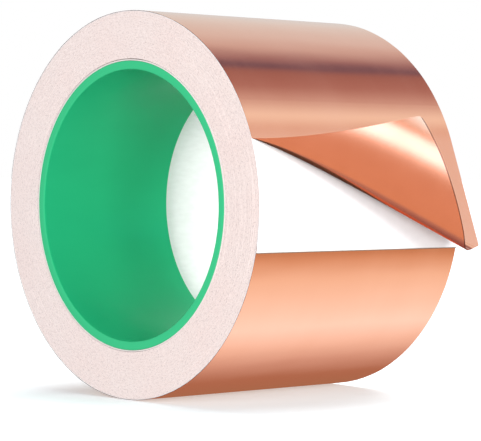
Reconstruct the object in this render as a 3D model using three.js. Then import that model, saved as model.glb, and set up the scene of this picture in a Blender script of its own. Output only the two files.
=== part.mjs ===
// Copper foil tape roll, standing on its rim like a wheel, in millimetres, +Z up.
// The winding axis is Y and the origin is the centre of the core's bore.
// The free end of the tape is on the +X side: the foil there is peeled from its white
// release liner from PEEL_DEG on, and its front corner is folded and curled back over the roll.

import * as THREE from 'three';

// Core and tape sizes
const TAPE_WIDTH = 78;
const BORE_RADIUS = 38.1;
const SLEEVE_WALL = 2.45;
const SLEEVE_LENGTH = 47.4;
const SLEEVE_CHAMFER = 0.5;
const CORE_TUBE_WALL = 0.35;
const ROLL_RADIUS = 54.6;
const FOIL_THICKNESS = 0.04;
const ADHESIVE_THICKNESS = 0.03;
const LINER_THICKNESS = 0.09;

// Clearances between neighbouring pieces
const LAYER_GAP = 0.01;
const CORE_GAP = 0.05;
const END_GAP = 0.3;

// Round stretches are 5 degree facets, with one facet flat on the ground
const FACETS = 72;
const FACET_DEG = 360 / FACETS;

// Angles round the roll, from +X towards +Z
const LINER_END_DEG = -12.5;
const PEEL_DEG = 20;
const OUTER_TURN_FACETS = 74;

// The peeled flap. It leaves the roll flat, folds over about a slanted line from the front end
// of the peel line, and rolls back in one wide bend. Lengths are along the foil from that line.
const FLAP_BACK_EDGE = 31.4;
const FOLD_SLANT_DEG = 26.1;
const FOLD_RADIUS = 5;
const FOLD_GROWTH = 14;
const FOLD_TURN_DEG = 135;
const BEND_RADIUS = 35;
const TIP_ALONG = 41.9;
const TIP_ACROSS = 28.9;
const SIDE_EDGE_POWER = 1.05;
const CUT_END_POWER = 1.12;
const FLAP_START_TRIM = 0.8;
const FLAP_END_TRIM = 0.4;
const FLAP_ROWS = 18;
const FLAP_COLUMNS = 30;

const FRONT_Y = -TAPE_WIDTH / 2;
const BACK_Y = TAPE_WIDTH / 2;
const TURN_PITCH = FOIL_THICKNESS + ADHESIVE_THICKNESS + LINER_THICKNESS + 3 * LAYER_GAP;
const ADHESIVE_DEPTH = FOIL_THICKNESS + LAYER_GAP;
const LINER_DEPTH = ADHESIVE_DEPTH + ADHESIVE_THICKNESS + LAYER_GAP;
const PEEL_FACET = (PEEL_DEG - LINER_END_DEG) / FACET_DEG;

const rad = THREE.MathUtils.degToRad;

const greenPlastic = new THREE.MeshStandardMaterial({ color: 0x2cc585, roughness: 0.35 });
const whitePaper = new THREE.MeshStandardMaterial({ color: 0xf3f0ea, roughness: 0.85 });
const woundEdges = new THREE.MeshStandardMaterial({ color: 0xeed8cb, roughness: 0.7 });
const releaseLiner = new THREE.MeshStandardMaterial({ color: 0xfbfafa, roughness: 0.5 });
const copperFoil = new THREE.MeshStandardMaterial({ color: 0xd98e68, roughness: 0.25, metalness: 1 });
const clearAdhesive = new THREE.MeshStandardMaterial({ color: 0xd87845, roughness: 0.12, metalness: 0.6 });

// A point on the winding spiral, counted in facets from the liner's cut end.
// depth is how far it lies inside the outer face of the foil at that place.
function spiralPoint(facet, depth) {
  const whole = Math.floor(facet);
  const corner = (k) => {
    const radius = ROLL_RADIUS - (TURN_PITCH * k) / FACETS - depth;
    const angle = rad(LINER_END_DEG + k * FACET_DEG);
    return new THREE.Vector2(radius * Math.cos(angle), radius * Math.sin(angle));
  };
  if (facet === whole) return corner(whole);
  return corner(whole).lerp(corner(whole + 1), facet - whole);
}

function spiralRun(fromFacet, toFacet, depth) {
  const points = [spiralPoint(fromFacet, depth)];
  for (let k = Math.floor(fromFacet) + 1; k < toFacet; k += 1) {
    points.push(spiralPoint(k, depth));
  }
  points.push(spiralPoint(toFacet, depth));
  return points;
}

// A flat outline in X and Z, pushed from the front face to the back face
function acrossTheWidth(shape) {
  const geometry = new THREE.ExtrudeGeometry(shape, { depth: TAPE_WIDTH, bevelEnabled: false });
  geometry.rotateX(Math.PI / 2);
  geometry.translate(0, BACK_Y, 0);
  return geometry;
}

// One layer of the outermost turn, between two depths under the outer face of the foil
function turnLayer(fromFacet, toFacet, depth, thickness) {
  const outside = spiralRun(fromFacet, toFacet, depth);
  const inside = spiralRun(fromFacet, toFacet, depth + thickness);
  return acrossTheWidth(new THREE.Shape([...outside, ...inside.reverse()]));
}

// A ring turned about Y from a closed profile of [radius, y] corners
function turned(profile) {
  const corners = profile.map(([radius, y]) => new THREE.Vector2(radius, y));
  corners.push(corners[0].clone());
  return new THREE.LatheGeometry(corners, FACETS, rad(FACET_DEG / 2));
}

function coreSleeve() {
  const outer = BORE_RADIUS + SLEEVE_WALL;
  const far = FRONT_Y + SLEEVE_LENGTH;
  const cut = SLEEVE_CHAMFER;
  return turned([
    [BORE_RADIUS, FRONT_Y + cut],
    [BORE_RADIUS + cut, FRONT_Y],
    [outer - cut / 2, FRONT_Y],
    [outer, FRONT_Y + cut / 2],
    [outer, far],
    [BORE_RADIUS + cut, far],
    [BORE_RADIUS, far - cut],
  ]);
}

function coreTube() {
  const inner = BORE_RADIUS + SLEEVE_WALL + CORE_GAP;
  const outer = inner + CORE_TUBE_WALL;
  return turned([[inner, FRONT_Y], [outer, FRONT_Y], [outer, BACK_Y], [inner, BACK_Y]]);
}

// Every turn under the outermost one, as one solid whose rim follows the spiral
function innerTurns() {
  const rim = spiralRun(OUTER_TURN_FACETS, OUTER_TURN_FACETS + FACETS, 0);
  const inner = BORE_RADIUS + SLEEVE_WALL + CORE_TUBE_WALL + 2 * CORE_GAP;
  const hole = [];
  for (let k = 0; k < FACETS; k += 1) {
    const angle = rad(LINER_END_DEG - k * FACET_DEG);
    hole.push(new THREE.Vector2(inner * Math.cos(angle), inner * Math.sin(angle)));
  }
  const shape = new THREE.Shape(rim);
  shape.holes.push(new THREE.Path(hole));
  return acrossTheWidth(shape);
}

const foldSin = Math.sin(rad(FOLD_SLANT_DEG));
const foldCos = Math.cos(rad(FOLD_SLANT_DEG));

// Where the flap starts, across the fold, on the peel line or further on along the tape's back edge
function flapStart(along) {
  const backEdge = TAPE_WIDTH * foldCos;
  if (along <= backEdge) return (-along * foldSin) / foldCos;
  return -TAPE_WIDTH * foldSin + ((along - backEdge) * foldCos) / foldSin;
}

const backCornerAlong = TAPE_WIDTH * foldCos + FLAP_BACK_EDGE * foldSin;
const backCornerAcross = -TAPE_WIDTH * foldSin + FLAP_BACK_EDGE * foldCos;

// Where the flap ends, across the fold, on its folded side edge up to the tip or on its cut end after it
function flapEnd(along) {
  if (along <= TIP_ALONG) return TIP_ACROSS * (along / TIP_ALONG) ** SIDE_EDGE_POWER;
  const pastTip = (along - TIP_ALONG) / (backCornerAlong - TIP_ALONG);
  return backCornerAcross + (TIP_ACROSS - backCornerAcross) * (1 - pastTip ** CUT_END_POWER);
}

// A point of the flap's inner face and the outward normal there, in the frame of the peel line
function flapPoint(along, across) {
  const radius = FOLD_RADIUS * (1 - Math.exp(-along / FOLD_GROWTH));
  const turn = rad(FOLD_TURN_DEG);
  const past = across + radius;
  if (past <= 0) return { forward: across, lift: 0, angle: 0 };
  if (past <= radius * turn) {
    const angle = past / radius;
    return { forward: radius * (Math.sin(angle) - 1), lift: radius * (1 - Math.cos(angle)), angle };
  }
  const angle = turn + (past - radius * turn) / BEND_RADIUS;
  return {
    forward: radius * (Math.sin(turn) - 1) + BEND_RADIUS * (Math.sin(angle) - Math.sin(turn)),
    lift: radius * (1 - Math.cos(turn)) + BEND_RADIUS * (Math.cos(turn) - Math.cos(angle)),
    angle,
  };
}

// A thin closed sheet over the flap, between two heights above the foil's inner face
function flapLayer(lower, upper) {
  const innerRadius = ROLL_RADIUS - (TURN_PITCH * PEEL_FACET) / FACETS - FOIL_THICKNESS;
  const outward = new THREE.Vector3(Math.cos(rad(PEEL_DEG)), 0, Math.sin(rad(PEEL_DEG)));
  const downward = new THREE.Vector3(outward.z, 0, -outward.x);
  const backward = new THREE.Vector3(0, 1, 0);
  const peelFront = outward.clone().multiplyScalar(innerRadius * Math.cos(rad(FACET_DEG / 2)));
  peelFront.setY(FRONT_Y);
  const foldLine = backward.clone().multiplyScalar(foldCos).addScaledVector(downward, foldSin);
  const forward = downward.clone().multiplyScalar(foldCos).addScaledVector(backward, -foldSin);

  const positions = [];
  for (const height of [lower, upper]) {
    for (let row = 0; row <= FLAP_ROWS; row += 1) {
      const share = row / FLAP_ROWS;
      const along = THREE.MathUtils.lerp(FLAP_START_TRIM, backCornerAlong - FLAP_END_TRIM, share);
      for (let column = 0; column <= FLAP_COLUMNS; column += 1) {
        const across = THREE.MathUtils.lerp(flapStart(along), flapEnd(along), column / FLAP_COLUMNS);
        const point = flapPoint(along, across);
        const place = peelFront.clone().addScaledVector(foldLine, along);
        place.addScaledVector(forward, point.forward - height * Math.sin(point.angle));
        place.addScaledVector(outward, point.lift + height * Math.cos(point.angle));
        positions.push(...place.toArray());
      }
    }
  }
  const geometry = new THREE.BufferGeometry();
  geometry.setAttribute('position', new THREE.Float32BufferAttribute(positions, 3));
  geometry.setIndex(sheetFaces(FLAP_ROWS, FLAP_COLUMNS));
  return geometry;
}

// Triangles of a closed sheet: a lower grid, an upper grid after it, and a wall round their edges
function sheetFaces(rows, columns) {
  const indices = [];
  const quad = (a, b, c, d) => indices.push(a, c, b, a, d, c);
  const lower = (row, column) => row * (columns + 1) + column;
  const upper = (row, column) => lower(row, column) + (rows + 1) * (columns + 1);
  const wall = (a, b) => quad(lower(...a), upper(...a), upper(...b), lower(...b));
  for (let row = 0; row < rows; row += 1) {
    for (let column = 0; column < columns; column += 1) {
      const [a, b] = [[row, column], [row + 1, column]];
      const [c, d] = [[row + 1, column + 1], [row, column + 1]];
      quad(upper(...a), upper(...b), upper(...c), upper(...d));
      quad(lower(...a), lower(...d), lower(...c), lower(...b));
    }
    wall([row + 1, 0], [row, 0]);
    wall([row, columns], [row + 1, columns]);
  }
  for (let column = 0; column < columns; column += 1) {
    wall([0, column], [0, column + 1]);
    wall([rows, column + 1], [rows, column]);
  }
  return indices;
}

const roll = new THREE.Group();

function add(name, geometry, material) {
  const mesh = new THREE.Mesh(geometry, material);
  mesh.name = name;
  roll.add(mesh);
}

const stripFrom = PEEL_FACET + END_GAP / (ROLL_RADIUS * rad(FACET_DEG));
const stripTo = OUTER_TURN_FACETS - END_GAP / (ROLL_RADIUS * rad(FACET_DEG));

add('core_sleeve', coreSleeve(), greenPlastic);
add('core_tube', coreTube(), whitePaper);
add('inner_turns', innerTurns(), woundEdges);
add('outer_liner', turnLayer(0, stripTo, LINER_DEPTH, LINER_THICKNESS), releaseLiner);
add('outer_adhesive', turnLayer(stripFrom, stripTo, ADHESIVE_DEPTH, ADHESIVE_THICKNESS), clearAdhesive);
add('outer_foil', turnLayer(stripFrom, stripTo, 0, FOIL_THICKNESS), copperFoil);
add('flap_adhesive', flapLayer(-LAYER_GAP - ADHESIVE_THICKNESS, -LAYER_GAP), clearAdhesive);
add('flap_foil', flapLayer(0, FOIL_THICKNESS), copperFoil);

export default roll;
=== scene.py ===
# The looks of the copper foil tape roll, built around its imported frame.
# Sizes are in millimetres until a mesh is made. The winding axis is Y, and the roll stands on its rim.

import math

import bmesh
import bpy
from mathutils import Matrix, Vector, noise


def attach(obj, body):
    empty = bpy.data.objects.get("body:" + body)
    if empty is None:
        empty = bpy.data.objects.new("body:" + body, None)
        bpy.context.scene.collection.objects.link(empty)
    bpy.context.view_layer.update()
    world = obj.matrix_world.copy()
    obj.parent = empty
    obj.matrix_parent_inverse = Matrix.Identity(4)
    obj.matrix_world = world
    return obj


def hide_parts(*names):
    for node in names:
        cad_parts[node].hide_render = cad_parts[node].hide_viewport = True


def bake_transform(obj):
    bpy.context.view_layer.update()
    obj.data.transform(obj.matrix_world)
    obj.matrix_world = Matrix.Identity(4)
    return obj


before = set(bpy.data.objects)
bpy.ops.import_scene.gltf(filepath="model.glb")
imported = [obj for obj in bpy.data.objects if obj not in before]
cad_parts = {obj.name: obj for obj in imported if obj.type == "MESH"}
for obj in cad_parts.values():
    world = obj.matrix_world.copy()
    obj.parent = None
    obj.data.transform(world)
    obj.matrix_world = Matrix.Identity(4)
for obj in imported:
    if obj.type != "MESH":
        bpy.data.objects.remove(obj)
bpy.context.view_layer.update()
scene = bpy.context.scene

MM = 0.001

# Core and tape sizes, as in the frame
TAPE_WIDTH = 78
FRONT_Y = -TAPE_WIDTH / 2
BACK_Y = TAPE_WIDTH / 2
BORE_RADIUS = 38.1
SLEEVE_WALL = 2.45
SLEEVE_LENGTH = 47.4
CORE_GAP = 0.05
CORE_TUBE_WALL = 0.35
ROLL_RADIUS = 54.6
FOIL_THICKNESS = 0.04
ADHESIVE_THICKNESS = 0.03
LINER_THICKNESS = 0.09
LAYER_GAP = 0.01
TURN_PITCH = FOIL_THICKNESS + ADHESIVE_THICKNESS + LINER_THICKNESS + 3 * LAYER_GAP
ADHESIVE_DEPTH = FOIL_THICKNESS + LAYER_GAP
LINER_DEPTH = ADHESIVE_DEPTH + ADHESIVE_THICKNESS + LAYER_GAP

# Angles round the roll, from +X towards +Z
LINER_END_DEG = -12.5
PEEL_DEG = 20
OUTER_TURNS = 74 / 72

# The peeled flap, as in the frame
FLAP_BACK_EDGE = 31.4
FOLD_SLANT_DEG = 26.1
FOLD_RADIUS = 5
FOLD_GROWTH = 14
FOLD_TURN_DEG = 135
BEND_RADIUS = 35
TIP_ALONG = 41.9
TIP_ACROSS = 28.9
SIDE_EDGE_POWER = 1.05
CUT_END_POWER = 1.12

# Fineness of the surfaces, and how far the waves and the curl of the outermost turn reach
RING_STEPS = 288
WINDING_STEPS = 240
FOIL_STEP_DEG = 1
FOIL_COLUMNS = 38
SWELL_SEED = 1.7
SWELL_FADE = 12
CURL_LENGTH = 5
FLAP_ROWS_ON_PEEL = 84
FLAP_ROWS_PAST_PEEL = 18
FLAP_COLUMNS = 96


# ---------------------------------------------------------------- camera

CAMERA_AZIMUTH = math.radians(47.78)
CAMERA_ELEVATION = math.radians(0.99)
CAMERA_ROLL = math.radians(0.34)
CAMERA_YAW = math.radians(0.27)
CAMERA_PITCH = math.radians(-0.41)
CAMERA_DISTANCE = 650.6
CAMERA_LENS = 166.74
CAMERA_SENSOR = 36


def make_camera():
    """Looks at the bore's centre from the right, almost level, turned a little in yaw, pitch and roll."""
    level = math.cos(CAMERA_ELEVATION)
    back = Vector((
        math.sin(CAMERA_AZIMUTH) * level,
        -math.cos(CAMERA_AZIMUTH) * level,
        math.sin(CAMERA_ELEVATION),
    ))
    right = (-back).cross(Vector((0, 0, 1))).normalized()
    up = right.cross(-back)
    forward = (-back * math.cos(CAMERA_YAW) + right * math.sin(CAMERA_YAW)) * math.cos(CAMERA_PITCH)
    forward += up * math.sin(CAMERA_PITCH)
    side = forward.cross(up).normalized()
    top = side.cross(forward)
    rolled_side = side * math.cos(CAMERA_ROLL) + top * math.sin(CAMERA_ROLL)
    rolled_top = top * math.cos(CAMERA_ROLL) - side * math.sin(CAMERA_ROLL)
    data = bpy.data.cameras.new("camera")
    data.lens = CAMERA_LENS
    data.sensor_width = CAMERA_SENSOR
    data.clip_start = 0.01
    data.clip_end = 50
    camera = bpy.data.objects.new("camera", data)
    scene.collection.objects.link(camera)
    camera.matrix_world = Matrix((rolled_side, rolled_top, -forward)).transposed().to_4x4()
    camera.location = back * CAMERA_DISTANCE * MM
    scene.camera = camera


make_camera()


# ---------------------------------------------------------------- node helpers


def node(tree, kind, inputs=None, **settings):
    """Adds a node. An input is a value, or the socket that feeds it."""
    made = tree.nodes.new(kind)
    for name, value in settings.items():
        setattr(made, name, value)
    for name, value in (inputs or {}).items():
        if isinstance(value, bpy.types.NodeSocket):
            tree.links.new(value, made.inputs[name])
        else:
            made.inputs[name].default_value = value
    return made


def maths(tree, operation, a, b=0.0, c=0.0):
    """One sum on numbers or sockets."""
    return node(tree, "ShaderNodeMath", {0: a, 1: b, 2: c}, operation=operation).outputs[0]


def ramp(tree, factor, stops):
    """A colour ramp whose stops are (position, colour)."""
    made = node(tree, "ShaderNodeValToRGB", {"Fac": factor})
    elements = made.color_ramp.elements
    while len(elements) < len(stops):
        elements.new(0.5)
    for element, (position, colour) in zip(elements, stops):
        element.position = position
        element.color = (*colour, 1)
    return made.outputs["Color"]


def remap(tree, value, low, high, to_low=0.0, to_high=1.0, kind="LINEAR"):
    """The value, moved from one range to another and held inside it."""
    inputs = {"Value": value, "From Min": low, "From Max": high, "To Min": to_low, "To Max": to_high}
    return node(tree, "ShaderNodeMapRange", inputs, interpolation_type=kind).outputs["Result"]


def mix_colour(tree, factor, a, b, blend="MIX"):
    """Colour a blended towards colour b. Each is a socket or a plain colour."""
    made = node(tree, "ShaderNodeMix", data_type="RGBA", blend_type=blend)
    for socket, value in ((made.inputs[0], factor), (made.inputs[6], a), (made.inputs[7], b)):
        if isinstance(value, bpy.types.NodeSocket):
            tree.links.new(value, socket)
        elif isinstance(value, tuple):
            socket.default_value = (*value, 1)
        else:
            socket.default_value = value
    return made.outputs[2]


def fine_noise(tree, vector, scale, detail, roughness=0.5):
    """Soft noise from 0 to 1, with this many waves to each unit of the vector."""
    inputs = {"Vector": vector, "Scale": scale, "Detail": detail, "Roughness": roughness}
    return node(tree, "ShaderNodeTexNoise", inputs).outputs["Fac"]


def stretched(tree, vector, scale):
    """The vector, scaled along each axis."""
    return node(tree, "ShaderNodeMapping", {"Vector": vector, "Scale": scale}).outputs["Vector"]


def bump(tree, height, distance, strength=1.0):
    """A surface normal for a height that is counted in units of this distance, in metres."""
    inputs = {"Height": height, "Distance": distance, "Strength": strength}
    return node(tree, "ShaderNodeBump", inputs).outputs["Normal"]


def new_material(name, **sockets):
    """A material with one Principled shader, its constant values set on the shader's own sockets."""
    material = bpy.data.materials.new(name)
    material.use_nodes = True
    tree = material.node_tree
    shader = tree.nodes["Principled BSDF"]
    for socket, value in sockets.items():
        shader.inputs[socket.replace("_", " ")].default_value = value
    return material, tree, shader


def feed(tree, shader, **sockets):
    """Links each source to the shader's socket of that name."""
    for socket, source in sockets.items():
        tree.links.new(source, shader.inputs[socket.replace("_", " ")])


def place(tree):
    """The point on the piece, in metres, in the roll's own axes."""
    return node(tree, "ShaderNodeTexCoord").outputs["Object"]


def tape_place(tree):
    """Where a point lies on the tape: X along its length and Y across its width, in metres."""
    return node(tree, "ShaderNodeUVMap", uv_map="Tape").outputs["UV"]


def on_rim(tree):
    """1 on the faces that look along the winding axis, and 0 on the walls round it."""
    normal = node(tree, "ShaderNodeTexCoord").outputs["Normal"]
    along_axis = node(tree, "ShaderNodeSeparateXYZ", {"Vector": normal}).outputs["Y"]
    return remap(tree, maths(tree, "ABSOLUTE", along_axis), 0.3, 0.6)


# ---------------------------------------------------------------- materials

# Noise scales are in waves to a metre. Bump heights are in metres.

# The paper tube's seam: its advance in one turn, and its half width as a share of that
TUBE_SEAM_PITCH = 52
SEAM_HALF_WIDTH = 0.008

# The rings' noise takes this much of an arc for each radian, so that its marks are long round the roll
RING_ARC = 16

# How far from a cut end the dark line starts to show, and where it is full. On the liner it is a painted
# shadow line, and on the glued side it is partly grime and partly a painted shadow line.
CUT_SHADE_START = 0.45
CUT_SHADE_FULL = 0.15


def moulded_green():
    """Satin injection-moulded plastic with a faint flow texture."""
    material, tree, shader = new_material("moulded_green", Roughness=0.4, IOR=1.4, Specular_IOR_Level=0.15)
    point = place(tree)
    flow = fine_noise(tree, stretched(tree, point, (60, 25, 60)), 1, 3)
    wall = ramp(tree, flow, [(0.3, (0.018, 0.455, 0.198)), (0.7, (0.022, 0.485, 0.212))])
    colour = mix_colour(tree, on_rim(tree), wall, (0.040, 0.485, 0.212))
    grain = fine_noise(tree, point, 2600, 2)
    gloss = remap(tree, flow, 0.3, 0.7, 0.36, 0.46)
    feed(tree, shader, Base_Color=colour, Roughness=gloss, Normal=bump(tree, grain, 0.03 * MM))
    return material


def tube_paper():
    """Spiral-wound white paper: short fibres, and the helical seam between two windings."""
    material, tree, shader = new_material("tube_paper", Roughness=0.85)
    point = place(tree)
    axes = node(tree, "ShaderNodeSeparateXYZ", {"Vector": point}).outputs
    turn = maths(tree, "DIVIDE", maths(tree, "ARCTAN2", axes["Z"], axes["X"]), math.tau)
    advance = maths(tree, "DIVIDE", axes["Y"], TUBE_SEAM_PITCH * MM)
    seam = maths(tree, "FRACT", maths(tree, "ADD", advance, turn))
    groove = remap(tree, maths(tree, "ABSOLUTE", maths(tree, "SUBTRACT", seam, 0.5)), 0.0, SEAM_HALF_WIDTH)
    fibre = fine_noise(tree, stretched(tree, point, (900, 300, 900)), 1, 3)
    colour = ramp(tree, fibre, [(0.25, (0.88, 0.875, 0.86)), (0.75, (0.95, 0.945, 0.935))])
    wall = mix_colour(tree, groove, (0.72, 0.70, 0.67), colour)
    shaded = mix_colour(tree, on_rim(tree), wall, (0.74, 0.68, 0.65))
    height = maths(tree, "ADD", maths(tree, "MULTIPLY", fibre, 0.3), groove)
    feed(tree, shader, Base_Color=shaded, Normal=bump(tree, height, 0.06 * MM))
    return material


def wound_edges():
    """The stacked edges of the turns: thin foil and wider paper lines, with specks and cutting marks."""
    material, tree, shader = new_material("wound_edges", Roughness=0.72)
    point = place(tree)
    axes = node(tree, "ShaderNodeSeparateXYZ", {"Vector": point}).outputs
    z_squared = maths(tree, "POWER", axes["Z"], 2.0)
    radius = maths(tree, "SQRT", maths(tree, "MULTIPLY_ADD", axes["X"], axes["X"], z_squared))
    angle = maths(tree, "ARCTAN2", axes["Z"], axes["X"])
    inward = maths(tree, "SUBTRACT", ROLL_RADIUS * MM, radius)
    turns = maths(tree, "DIVIDE", inward, TURN_PITCH * MM)
    started = maths(tree, "DIVIDE", maths(tree, "SUBTRACT", angle, math.radians(LINER_END_DEG)), math.tau)
    layer = maths(tree, "FRACT", maths(tree, "SUBTRACT", turns, started))
    paper, foil, glue = (0.845, 0.755, 0.730), (0.69, 0.55, 0.51), (0.79, 0.69, 0.66)
    stack = ramp(tree, layer, [
        (0.0, foil), (0.17, foil), (0.24, glue), (0.40, glue), (0.46, paper), (0.94, paper), (1.0, foil),
    ])
    arc = maths(tree, "MULTIPLY", angle, RING_ARC * MM)
    around = node(tree, "ShaderNodeCombineXYZ", {"X": radius, "Y": arc})
    rings = fine_noise(tree, around.outputs["Vector"], 2600, 2, 0.6)
    tint = ramp(tree, rings, [
        (0.25, (0.86, 0.84, 0.84)), (0.5, (1.0, 0.99, 0.98)), (0.8, (1.05, 1.06, 1.07)),
    ])
    ringed = mix_colour(tree, 0.9, stack, tint, "MULTIPLY")
    blotch = ramp(tree, fine_noise(tree, point, 70, 2), [(0.3, (1.0, 0.955, 0.95)), (0.7, (1.0, 1.0, 1.0))])
    blotched = mix_colour(tree, 0.6, ringed, blotch, "MULTIPLY")
    speck = fine_noise(tree, point, 2700, 1, 0.4)
    speck_tint = ramp(tree, speck, [
        (0.28, (0.66, 0.64, 0.65)), (0.42, (1, 1, 1)), (0.62, (1, 1, 1)), (0.75, (1.05, 1.03, 1.0)),
    ])
    specked = mix_colour(tree, 0.7, blotched, speck_tint, "MULTIPLY")
    cells = node(tree, "ShaderNodeTexVoronoi", {"Vector": point, "Scale": 260.0}, feature="F1")
    few = maths(tree, "GREATER_THAN", cells.outputs["Color"], 0.9)
    crumb = maths(tree, "MULTIPLY", few, remap(tree, cells.outputs["Distance"], 0.10, 0.04))
    crumbed = mix_colour(tree, maths(tree, "MULTIPLY", crumb, 0.55), specked, (0.42, 0.33, 0.33))
    height = maths(tree, "ADD", rings, maths(tree, "MULTIPLY", speck, 0.5))
    feed(tree, shader, Base_Color=crumbed, Normal=bump(tree, height, 0.12 * MM))
    return material


def liner_paper():
    """Silicone-coated release paper: white, smooth, a little satin, with a painted shadow line along its cut
    end.
    """
    material, tree, shader = new_material("liner_paper", Roughness=0.45)
    point = place(tree)
    cloud = fine_noise(tree, point, 500, 3)
    colour = ramp(tree, cloud, [(0.3, (0.88, 0.88, 0.885)), (0.7, (0.91, 0.91, 0.915))])
    gloss = remap(tree, cloud, 0.3, 0.7, 0.42, 0.5)
    along = node(tree, "ShaderNodeSeparateXYZ", {"Vector": tape_place(tree)}).outputs["X"]
    # Painted shadow: a dark line along the paper's cut end, standing in for the shade at its step down to
    # the copper
    cut_shade = remap(tree, along, -CUT_SHADE_START * MM, -CUT_SHADE_FULL * MM)
    cut_shaded = mix_colour(tree, cut_shade, colour, (0.16, 0.10, 0.06))
    feed(tree, shader, Base_Color=cut_shaded, Roughness=gloss, Normal=bump(tree, cloud, 0.02 * MM))
    return material


def copper_foil():
    """Bright rolled copper: faint rolling lines along the tape, and soft smears in its gloss."""
    material, tree, shader = new_material("copper_foil", Metallic=1.0, Roughness=0.2)
    tape = tape_place(tree)
    lines = fine_noise(tree, stretched(tree, tape, (30, 2400, 1)), 1, 3, 0.6)
    smear = fine_noise(tree, stretched(tree, tape, (18, 60, 1)), 1, 2)
    colour = ramp(tree, smear, [(0.3, (0.930, 0.575, 0.420)), (0.7, (0.955, 0.605, 0.450))])
    mixed = maths(tree, "ADD", maths(tree, "MULTIPLY", lines, 0.35), maths(tree, "MULTIPLY", smear, 0.65))
    gloss = remap(tree, mixed, 0.3, 0.7, 0.09, 0.17)
    feed(tree, shader, Base_Color=colour, Roughness=gloss, Normal=bump(tree, lines, 0.012 * MM, 0.35))
    return material


def glued_copper():
    """The foil's glued side: a clear glossy adhesive that deepens the copper's orange, with a dark line at
    its cut that is partly grime and partly a painted shadow line.

    The film under the outermost turn has no from_cut, so the dark colour of the cut, grime and painted
    shadow, covers it all over. Only its thin edges show.
    """
    material, tree, shader = new_material(
        "glued_copper", Metallic=0.9, Roughness=0.19, Coat_Weight=0.12, Coat_Roughness=0.08,
        Specular_Tint=(0.75, 0.32, 0.28, 1),
    )
    tape = tape_place(tree)
    cloud = fine_noise(tree, stretched(tree, tape, (90, 90, 1)), 1, 3)
    colour = ramp(tree, cloud, [(0.3, (0.840, 0.345, 0.195)), (0.7, (0.880, 0.375, 0.220))])
    drawn = fine_noise(tree, stretched(tree, tape, (60, 900, 1)), 1, 2)
    from_cut = node(tree, "ShaderNodeAttribute", attribute_name="from_cut").outputs["Fac"]
    # The dark line along the cut end is partly grime on the adhesive and partly a painted shadow line
    cut_shaded = mix_colour(tree, remap(tree, from_cut, CUT_SHADE_START, CUT_SHADE_FULL), colour, (0.11, 0.035, 0.022))
    feed(tree, shader, Base_Color=cut_shaded, Normal=bump(tree, drawn, 0.01 * MM, 0.4))
    return material


# ---------------------------------------------------------------- mesh helpers


def add_piece(name, points, faces, material, sharp_deg=40, tape=None, from_cut=None):
    """A smooth piece from points in millimetres.

    tape gives each point's place on the tape, and from_cut its distance from the tape's cut end, both in
    millimetres.
    """
    mesh = bpy.data.meshes.new(name)
    mesh.from_pydata([Vector(point) * MM for point in points], [], faces)
    if tape:
        layer = mesh.uv_layers.new(name="Tape")
        for loop in mesh.loops:
            along, across = tape[loop.vertex_index]
            layer.data[loop.index].uv = (along * MM, across * MM)
    if from_cut:
        distances = mesh.attributes.new("from_cut", "FLOAT", "POINT")
        distances.data.foreach_set("value", from_cut)
    shape = bmesh.new()
    shape.from_mesh(mesh)
    bmesh.ops.remove_doubles(shape, verts=shape.verts, dist=1e-8)
    bmesh.ops.dissolve_degenerate(shape, edges=shape.edges, dist=1e-8)
    bmesh.ops.recalc_face_normals(shape, faces=shape.faces)
    shape.to_mesh(mesh)
    shape.free()
    mesh.shade_smooth()
    mesh.set_sharp_from_angle(angle=math.radians(sharp_deg))
    mesh.materials.append(material)
    piece = bpy.data.objects.new(name, mesh)
    scene.collection.objects.link(piece)
    return piece


def settle(piece, node_name):
    """The piece rides on the roll and stands for a CAD node, which it hides."""
    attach(piece, "roll")
    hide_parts(node_name)


def rounded_outline(corners, steps=6):
    """A closed outline of (radius, y, fillet) corners, each corner rounded by its fillet."""
    outline = []
    for index, (radius, y, fillet) in enumerate(corners):
        here = Vector((radius, y))
        before = (Vector(corners[index - 1][:2]) - here).normalized() * fillet
        after = (Vector(corners[(index + 1) % len(corners)][:2]) - here).normalized() * fillet
        for step in range(steps + 1):
            angle = step / steps * math.pi / 2
            outline.append(here + before * (1 - math.sin(angle)) + after * (1 - math.cos(angle)))
    return outline


def turned_ring(outline):
    """Points and faces of a ring turned about Y from a closed outline."""
    points, faces = [], []
    count = len(outline)
    for step in range(RING_STEPS):
        angle = math.tau * step / RING_STEPS
        points += [(r * math.cos(angle), y, r * math.sin(angle)) for r, y in outline]
        following = (step + 1) % RING_STEPS
        for corner in range(count):
            other = (corner + 1) % count
            faces.append((
                step * count + corner, step * count + other,
                following * count + other, following * count + corner,
            ))
    return points, faces


def closed_sheet(upper, lower, quads):
    """A thin closed body: the quads on both skins, and a wall round their open edges."""
    count = len(upper)
    faces = [tuple(quad) for quad in quads]
    faces += [tuple(index + count for index in reversed(quad)) for quad in quads]
    rim = set()
    for quad in quads:
        for a, b in zip(quad, quad[1:] + quad[:1]):
            if (b, a) in rim:
                rim.discard((b, a))
            else:
                rim.add((a, b))
    for a, b in sorted(rim):
        faces.append((b, a, a + count, b + count))
    return upper + lower, faces


def spiral_point(turns, depth, y):
    """A point on the winding, by turns from the liner's cut end and depth under the foil's outer face."""
    radius = ROLL_RADIUS - TURN_PITCH * turns - depth
    angle = math.radians(LINER_END_DEG) + math.tau * turns
    return Vector((radius * math.cos(angle), y, radius * math.sin(angle)))


def smooth(share):
    """Rises gently from 0 to 1 as the share does."""
    share = min(max(share, 0.0), 1.0)
    return share * share * (3 - 2 * share)


def wave(along, across, seed):
    """A soft unevenness from 0 to 1: waves about 9 mm long and 50 mm wide, and weaker ones 4 mm by 20 mm."""
    broad = noise.noise(Vector((along / 9, across / 50, seed)))
    narrow = noise.noise(Vector((along / 4, across / 20, seed + 5)))
    return 0.5 + 0.5 * max(-1.0, min(1.0, broad + 0.4 * narrow))


# ---------------------------------------------------------------- core


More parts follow.
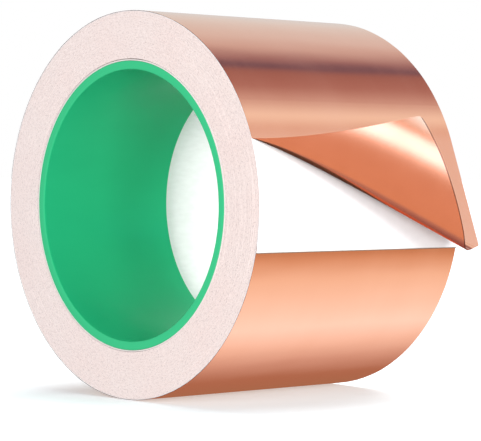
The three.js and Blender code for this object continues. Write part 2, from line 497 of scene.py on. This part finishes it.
def core_sleeve():
    """The green sleeve in the front part of the core, its ends rounded."""
    outer = BORE_RADIUS + SLEEVE_WALL
    far = FRONT_Y + SLEEVE_LENGTH
    outline = rounded_outline([
        (BORE_RADIUS, FRONT_Y, 0.5), (outer, FRONT_Y, 0.25), (outer, far, 0.15), (BORE_RADIUS, far, 0.5),
    ])
    piece = add_piece("moulded_sleeve", *turned_ring(outline), moulded_green())
    settle(piece, "core_sleeve")


def core_tube():
    """The thin paper tube that the tape is wound on, as long as the tape is wide."""
    inner = BORE_RADIUS + SLEEVE_WALL + CORE_GAP
    outer = inner + CORE_TUBE_WALL
    outline = rounded_outline([
        (inner, FRONT_Y, 0.08), (outer, FRONT_Y, 0.08), (outer, BACK_Y, 0.08), (inner, BACK_Y, 0.08),
    ], steps=3)
    piece = add_piece("paper_tube", *turned_ring(outline), tube_paper())
    settle(piece, "core_tube")


# ---------------------------------------------------------------- winding


def inner_turns():
    """Every turn under the outermost one. Each turn's edge is a small ridge of its own on both faces."""
    tube_outer = BORE_RADIUS + SLEEVE_WALL + CORE_TUBE_WALL + 2 * CORE_GAP
    turns = int((ROLL_RADIUS - TURN_PITCH * OUTER_TURNS - tube_outer) / TURN_PITCH)
    steps = turns * WINDING_STEPS
    ridge_height = 0.05
    wander = 0.05
    drift_round_turn = 1.5
    drift_from_turn_to_turn = 0.9

    def groove(side, step):
        """The point between two ridges, on one side."""
        return side * side_count + 2 * step

    def crest(side, step):
        """The top of a ridge, on one side."""
        return groove(side, step) + 1

    points, faces = [], []
    side_count = 2 * (steps + 1)
    for side, face_y in ((-1, FRONT_Y), (1, BACK_Y)):
        for step in range(steps + 1):
            turn = OUTER_TURNS + step / WINDING_STEPS
            angle = math.tau * turn
            drift = wander * noise.noise(Vector((
                math.cos(angle) * drift_round_turn,
                math.sin(angle) * drift_round_turn,
                turn * drift_from_turn_to_turn + side,
            )))
            inward = side * (ridge_height + wander / 2 + drift)
            points.append(spiral_point(turn, 0, face_y - inward))
            points.append(spiral_point(turn, TURN_PITCH / 2, face_y - inward + side * ridge_height))
    for side in (0, 1):
        for step in range(steps):
            faces.append((
                groove(side, step), groove(side, step + 1),
                crest(side, step + 1), crest(side, step),
            ))
        for step in range(steps - WINDING_STEPS):
            below = step + WINDING_STEPS
            faces.append((
                crest(side, step), crest(side, step + 1),
                groove(side, below + 1), groove(side, below),
            ))
    # The outer wall of the first turn, the inner wall of the last, and the two ends of the winding
    for step in range(WINDING_STEPS):
        faces.append((groove(0, step), groove(1, step), groove(1, step + 1), groove(0, step + 1)))
    last = steps - WINDING_STEPS
    for step in range(last, steps):
        faces.append((crest(0, step + 1), crest(1, step + 1), crest(1, step), crest(0, step)))
    faces.append((groove(0, 0), crest(0, 0), crest(1, 0), groove(1, 0)))
    faces.append((crest(0, 0), groove(0, WINDING_STEPS), groove(1, WINDING_STEPS), crest(1, 0)))
    faces.append((crest(0, last), groove(0, steps), groove(1, steps), crest(1, last)))
    faces.append((groove(0, steps), crest(0, steps), crest(1, steps), groove(1, steps)))
    piece = add_piece("wound_turns", points, faces, wound_edges(), sharp_deg=70)
    settle(piece, "inner_turns")


def turn_strip(name, from_turns, depth, thickness, material, swell=0.0, curl=0.0):
    """One layer of the outermost turn, on a fine grid, as far as the turn goes.

    swell lifts it in soft waves that die out at its ends, and curl lifts its first few millimetres.
    """
    turns_long = OUTER_TURNS - from_turns
    steps = round(turns_long * 360 / FOIL_STEP_DEG)
    shares = [step / steps for step in range(steps + 1)]
    circumference = math.tau * ROLL_RADIUS
    skins, tape = [], []
    for layer_depth in (depth, depth + thickness):
        for share in shares:
            turns = from_turns + turns_long * share
            for column in range(FOIL_COLUMNS + 1):
                y = FRONT_Y + TAPE_WIDTH * column / FOIL_COLUMNS
                along = (turns - from_turns) * circumference
                from_end = min(along, turns_long * circumference - along)
                lift = swell * wave(along, y, SWELL_SEED) * smooth(from_end / SWELL_FADE)
                lift += curl * (1 - smooth(along / CURL_LENGTH))
                skins.append(spiral_point(turns, layer_depth - lift, y))
                tape.append((-along, y))
    half = len(skins) // 2
    across = FOIL_COLUMNS + 1
    quads = [
        (
            row * across + column, row * across + column + 1,
            (row + 1) * across + column + 1, (row + 1) * across + column,
        )
        for row in range(steps)
        for column in range(FOIL_COLUMNS)
    ]
    points, faces = closed_sheet(skins[:half], skins[half:], quads)
    return add_piece(name, points, faces, material, sharp_deg=60, tape=tape)


# ---------------------------------------------------------------- flap

FOLD_SIN = math.sin(math.radians(FOLD_SLANT_DEG))
FOLD_COS = math.cos(math.radians(FOLD_SLANT_DEG))
FOLD_TURN = math.radians(FOLD_TURN_DEG)
PEEL_TURNS = (PEEL_DEG - LINER_END_DEG) / 360
PEEL_ALONG = TAPE_WIDTH * FOLD_COS
BACK_CORNER_ALONG = PEEL_ALONG + FLAP_BACK_EDGE * FOLD_SIN
BACK_CORNER_ACROSS = -TAPE_WIDTH * FOLD_SIN + FLAP_BACK_EDGE * FOLD_COS
CUT_OVERRUN = 0.6
TIP_ROUNDING = 0.5
LEAST_FOLD_RADIUS = 0.05

# The piece with the flap starts this far above the peel line, in this many rows
JOIN_DEG = 12
JOIN_ROWS = 16

# Rows crowd towards the near corner. Columns are this far apart, or turn this far from one to the next.
ROW_CROWDING = 1.4
COLUMN_SPACING = 2
COLUMN_TURN = math.radians(3.5)


def flap_start(along):
    """Where the flap starts, across the fold: on the peel line, or further on along the back edge."""
    if along <= PEEL_ALONG:
        return -along * FOLD_SIN / FOLD_COS
    return -TAPE_WIDTH * FOLD_SIN + (along - PEEL_ALONG) * FOLD_COS / FOLD_SIN


def flap_cut(along):
    """Where the tape's cut end lies, across the fold. Before the tip it runs on past the side edge."""
    past_tip = max(0.0, along - TIP_ALONG) / (BACK_CORNER_ALONG - TIP_ALONG)
    cut = BACK_CORNER_ACROSS + (TIP_ACROSS - BACK_CORNER_ACROSS) * (1 - past_tip ** CUT_END_POWER)
    return cut + max(0.0, TIP_ALONG - along) * CUT_OVERRUN


def flap_end(along):
    """Where the flap ends: its folded side edge, then its cut end, with the tip between them rounded."""
    side = TIP_ACROSS * (along / TIP_ALONG) ** SIDE_EDGE_POWER
    cut = flap_cut(along)
    apart = abs(side - cut)
    return min(side, cut) - TIP_ROUNDING * math.log(1 + math.exp(-apart / TIP_ROUNDING))


def fold_radius(along):
    """The fold is almost sharp at the near corner and rounder towards the back edge."""
    return FOLD_RADIUS * (1 - math.exp(-along / FOLD_GROWTH)) + LEAST_FOLD_RADIUS


def bend_angle(along, across):
    """How far the foil has turned at a place: none, then the fold, then the wide bend."""
    radius = fold_radius(along)
    past = across + radius
    if past <= 0:
        return 0.0
    if past <= radius * FOLD_TURN:
        return past / radius
    return FOLD_TURN + (past - radius * FOLD_TURN) / BEND_RADIUS


def flap_columns(along, count):
    """Places across the fold, packed closely where the foil bends most."""
    start, end = flap_start(along), max(flap_start(along) + 1e-6, flap_end(along))
    radius = fold_radius(along)
    knots = [start, -radius, -radius + radius * FOLD_TURN, end]
    knots = sorted(min(max(knot, start), end) for knot in knots)
    weights = [knot / COLUMN_SPACING + bend_angle(along, knot) / COLUMN_TURN for knot in knots]
    places = []
    for index in range(count + 1):
        wanted = weights[0] + (weights[-1] - weights[0]) * index / count
        span = max(k for k in range(3) if weights[k] <= wanted + 1e-9)
        width = weights[span + 1] - weights[span]
        share = (wanted - weights[span]) / width if width > 1e-12 else 0.0
        places.append(knots[span] + (knots[span + 1] - knots[span]) * min(share, 1.0))
    return places


def flap_point(along, across, height):
    """A point at a height over the foil's inner face, in the row frame."""
    radius = fold_radius(along)
    angle = bend_angle(along, across)
    if angle <= 0:
        forward, lift = across, 0.0
    elif angle <= FOLD_TURN:
        forward = radius * (math.sin(angle) - 1)
        lift = radius * (1 - math.cos(angle))
    else:
        forward = radius * (math.sin(FOLD_TURN) - 1) + BEND_RADIUS * (math.sin(angle) - math.sin(FOLD_TURN))
        lift = radius * (1 - math.cos(FOLD_TURN)) + BEND_RADIUS * (math.cos(FOLD_TURN) - math.cos(angle))
    peel = math.radians(PEEL_DEG)
    outward = Vector((math.cos(peel), 0, math.sin(peel)))
    downward = Vector((outward.z, 0, -outward.x))
    backward = Vector((0, 1, 0))
    fold_line = backward * FOLD_COS + downward * FOLD_SIN
    ahead = downward * FOLD_COS - backward * FOLD_SIN
    corner = outward * (ROLL_RADIUS - TURN_PITCH * PEEL_TURNS - FOIL_THICKNESS)
    corner.y = FRONT_Y
    place = corner + fold_line * along
    place += ahead * (forward - height * math.sin(angle))
    return place + outward * (lift + height * math.cos(angle))


def flap_sheet(name, lower, upper, material):
    """A thin closed sheet from the turn above the peel line, over it, and out over the flap."""
    shares = [row / FLAP_ROWS_ON_PEEL for row in range(FLAP_ROWS_ON_PEEL + 1)]
    near = [PEEL_ALONG * share ** ROW_CROWDING for share in shares]
    rest = BACK_CORNER_ALONG - PEEL_ALONG
    far = [PEEL_ALONG + rest * row / FLAP_ROWS_PAST_PEEL for row in range(1, FLAP_ROWS_PAST_PEEL + 1)]
    skins, tape, from_cut = [], [], []
    for height in (upper, lower):
        for along in near + far:
            if along <= PEEL_ALONG:
                y = FRONT_Y + along / FOLD_COS
                for row in range(JOIN_ROWS):
                    above = JOIN_DEG * (1 - row / JOIN_ROWS) / 360
                    skins.append(spiral_point(PEEL_TURNS + above, FOIL_THICKNESS - height, y))
                    tape.append((-math.tau * ROLL_RADIUS * above, y))
                    from_cut.append(TAPE_WIDTH)
            for across in flap_columns(along, FLAP_COLUMNS):
                skins.append(flap_point(along, across, height))
                down_tape = along * FOLD_SIN + across * FOLD_COS
                tape.append((down_tape, FRONT_Y + along * FOLD_COS - across * FOLD_SIN))
                from_cut.append(flap_cut(along) - across)
    wide = JOIN_ROWS + FLAP_COLUMNS + 1
    narrow = FLAP_COLUMNS + 1
    last_near = FLAP_ROWS_ON_PEEL

    def index(row, column):
        """The point at a row and column. The rows past the peel line have no columns above it."""
        if row <= last_near:
            return row * wide + column
        return (last_near + 1) * wide + (row - last_near - 1) * narrow + column - JOIN_ROWS

    quads = []
    for row in range(last_near + FLAP_ROWS_PAST_PEEL):
        first = 0 if row < last_near else JOIN_ROWS
        for column in range(first, wide - 1):
            quads.append((
                index(row, column), index(row, column + 1),
                index(row + 1, column + 1), index(row + 1, column),
            ))
    half = len(skins) // 2
    points, faces = closed_sheet(skins[:half], skins[half:], quads)
    return add_piece(name, points, faces, material, sharp_deg=60, tape=tape, from_cut=from_cut)


def peel_with_joint(piece, node_name):
    """Bakes the sheet's placement into its mesh and hides the CAD node that it stands for."""
    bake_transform(piece)
    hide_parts(node_name)


# ---------------------------------------------------------------- build

core_sleeve()
core_tube()
inner_turns()

copper = copper_foil()
glued = glued_copper()
liner = turn_strip("release_liner", 0, LINER_DEPTH, LINER_THICKNESS, liner_paper(), curl=0.15)
settle(liner, "outer_liner")

# In the fold's mirror image the bright liner would be a hard pink line
liner.visible_glossy = False

join_turns = PEEL_TURNS + JOIN_DEG / 360
foil = turn_strip("outer_turn_foil", join_turns, 0, FOIL_THICKNESS, copper, swell=0.09)
settle(foil, "outer_foil")
film = turn_strip("outer_turn_adhesive", join_turns, ADHESIVE_DEPTH - LAYER_GAP, ADHESIVE_THICKNESS, glued)
settle(film, "outer_adhesive")

peeled_foil = flap_sheet("peeled_foil", 0, FOIL_THICKNESS, copper)
peel_with_joint(peeled_foil, "flap_foil")
peeled_film = flap_sheet("peeled_adhesive", -LAYER_GAP - ADHESIVE_THICKNESS, -LAYER_GAP, glued)
peel_with_joint(peeled_film, "flap_adhesive")


# ---------------------------------------------------------------- floor, light


def make_floor(level):
    """A wide white floor at a level, lifted a little by light of its own. Metres."""
    mesh = bpy.data.meshes.new("floor")
    reach = 8.0
    corners = [(-reach, -reach), (reach, -reach), (reach, reach), (-reach, reach)]
    mesh.from_pydata([(x, y, level) for x, y in corners], [], [(0, 1, 2, 3)])
    material, _, _ = new_material(
        "studio_floor", Base_Color=(0.84, 0.90, 0.92, 1), Roughness=0.9,
        Emission_Color=(1, 1, 1, 1), Emission_Strength=0.24,
    )
    mesh.materials.append(material)
    floor = bpy.data.objects.new("floor", mesh)
    scene.collection.objects.link(floor)
    floor.visible_glossy = False
    floor.visible_diffuse = False


# The studio's light as gloss shows it: (degrees round the winding axis, from +X towards +Z, and colour).
# One list is for directions towards the back of the roll, and one for all others. They aren't plain light:
# the first was worked out by a program from the photograph's copper, and then adjusted.
GLOSS_BEHIND = [
    (-180, (0.38, 0.14, 0.06)),
    (-131, (0.46, 0.20, 0.125)),
    (-111, (0.71, 0.45, 0.375)),
    (-95, (1.02, 0.78, 0.70)),
    (-80, (1.18, 1.10, 1.10)),
    (-45, (1.02, 0.78, 0.64)),
    (-33, (0.76, 0.44, 0.28)),
    (-26, (0.55, 0.26, 0.14)),
    (-21, (0.90, 0.66, 0.52)),
    (-12, (1.10, 1.05, 1.00)),
    (8, (1.10, 1.05, 1.00)),
    (13, (0.95, 0.85, 0.85)),
    (16, (1.50, 3.60, 5.60)),
    (28, (1.50, 3.60, 5.60)),
    (32, (0.92, 0.80, 0.78)),
    (48, (0.81, 0.60, 0.53)),
    (56, (1.00, 0.92, 0.85)),
    (68, (0.62, 0.43, 0.41)),
    (76, (0.44, 0.23, 0.22)),
    (88, (0.37, 0.18, 0.17)),
    (91, (0.27, 0.150, 0.18)),
    (93, (0.18, 0.115, 0.17)),
    (96, (0.19, 0.125, 0.18)),
    (99, (0.36, 0.21, 0.24)),
    (111, (0.67, 0.55, 0.55)),
    (122, (0.75, 0.70, 0.71)),
    (150, (0.77, 0.78, 0.77)),
    (169, (0.72, 0.72, 0.71)),
    (176, (0.38, 0.14, 0.06)),
]
GLOSS_AHEAD = [
    (-180, (0.36, 0.30, 0.40)),
    (-120, (0.36, 0.22, 0.28)),
    (-96, (0.52, 0.36, 0.38)),
    (-80, (0.80, 0.52, 0.38)),
    (-30, (0.76, 0.48, 0.36)),
    (-15, (0.70, 0.44, 0.34)),
    (-8, (0.90, 0.90, 0.90)),
    (-3, (2.8, 3.4, 4.8)),
    (8, (2.8, 3.4, 4.8)),
    (9.5, (0.75, 0.60, 0.5)),
    (13.5, (0.75, 0.60, 0.5)),
    (17, (0.95, 1.00, 1.10)),
    (27, (1.0, 0.95, 0.95)),
    (90, (1.1, 1.1, 1.1)),
    (150, (0.9, 0.9, 0.9)),
    (180, (0.36, 0.30, 0.40)),
]


def ramp_round_axis(tree, axes, stops):
    """The colour for a direction, from stops of (degrees round the winding axis, colour)."""
    angle = maths(tree, "ARCTAN2", axes["Z"], axes["X"])
    share = remap(tree, angle, -math.pi, math.pi)
    return ramp(tree, share, [((degrees + 180) / 360, colour) for degrees, colour in stops])


def make_world():
    """A studio that is plain white to the camera, with bands of coloured light that only gloss sees."""
    world = bpy.data.worlds.new("studio")
    scene.world = world
    world.use_nodes = True
    tree = world.node_tree
    direction = node(tree, "ShaderNodeTexCoord").outputs["Generated"]
    axes = node(tree, "ShaderNodeSeparateXYZ", {"Vector": direction}).outputs
    behind = ramp_round_axis(tree, axes, GLOSS_BEHIND)
    ahead = ramp_round_axis(tree, axes, GLOSS_AHEAD)
    to_back = remap(tree, axes["Y"], 0.50, 0.65, kind="SMOOTHSTEP")
    gloss = mix_colour(tree, to_back, ahead, behind)
    path = node(tree, "ShaderNodeLightPath").outputs
    direct = maths(tree, "LESS_THAN", path["Diffuse Depth"], 0.5)
    mirrored = maths(tree, "MULTIPLY", path["Is Glossy Ray"], direct)
    height = remap(tree, axes["Z"], -0.3, 0.3, kind="SMOOTHSTEP")
    soft = mix_colour(tree, height, (0.72, 0.72, 0.74), (0.34, 0.345, 0.36))
    lit = mix_colour(tree, mirrored, soft, gloss)
    seen = mix_colour(tree, path["Is Camera Ray"], lit, (1.0, 1.0, 1.0))
    tree.links.new(seen, tree.nodes["Background"].inputs["Color"])


def add_light(name, kind, place_at, aim, energy, **settings):
    """A light at a place, aimed at a point, that doesn't show as a shape in gloss. Metres."""
    data = bpy.data.lights.new(name, kind)
    data.energy = energy
    for setting, value in settings.items():
        setattr(data, setting, value)
    light = bpy.data.objects.new(name, data)
    light.location = place_at
    light.rotation_euler = (Vector(aim) - Vector(place_at)).to_track_quat("-Z", "Y").to_euler()
    light.visible_glossy = False
    scene.collection.objects.link(light)


lowest_corner = foil.bound_box[0]
make_floor(lowest_corner[2])
make_world()
add_light("overhead", "SUN", (-0.10, 0.45, 1), (0, 0, 0), 3.4, angle=math.radians(60))
add_light("key", "AREA", (0.30, -0.83, 0.12), (0, 0, 0), 4.6, size=0.35)
add_light("side_fill", "AREA", (0.50, -0.25, 0.01), (0, 0, 0), 1.1, size=0.15)
add_light("back_fill", "AREA", (0.52, 0.20, 0.07), (0, 0.02, 0), 2.2, size=0.22)

scene.view_settings.view_transform = "Standard"
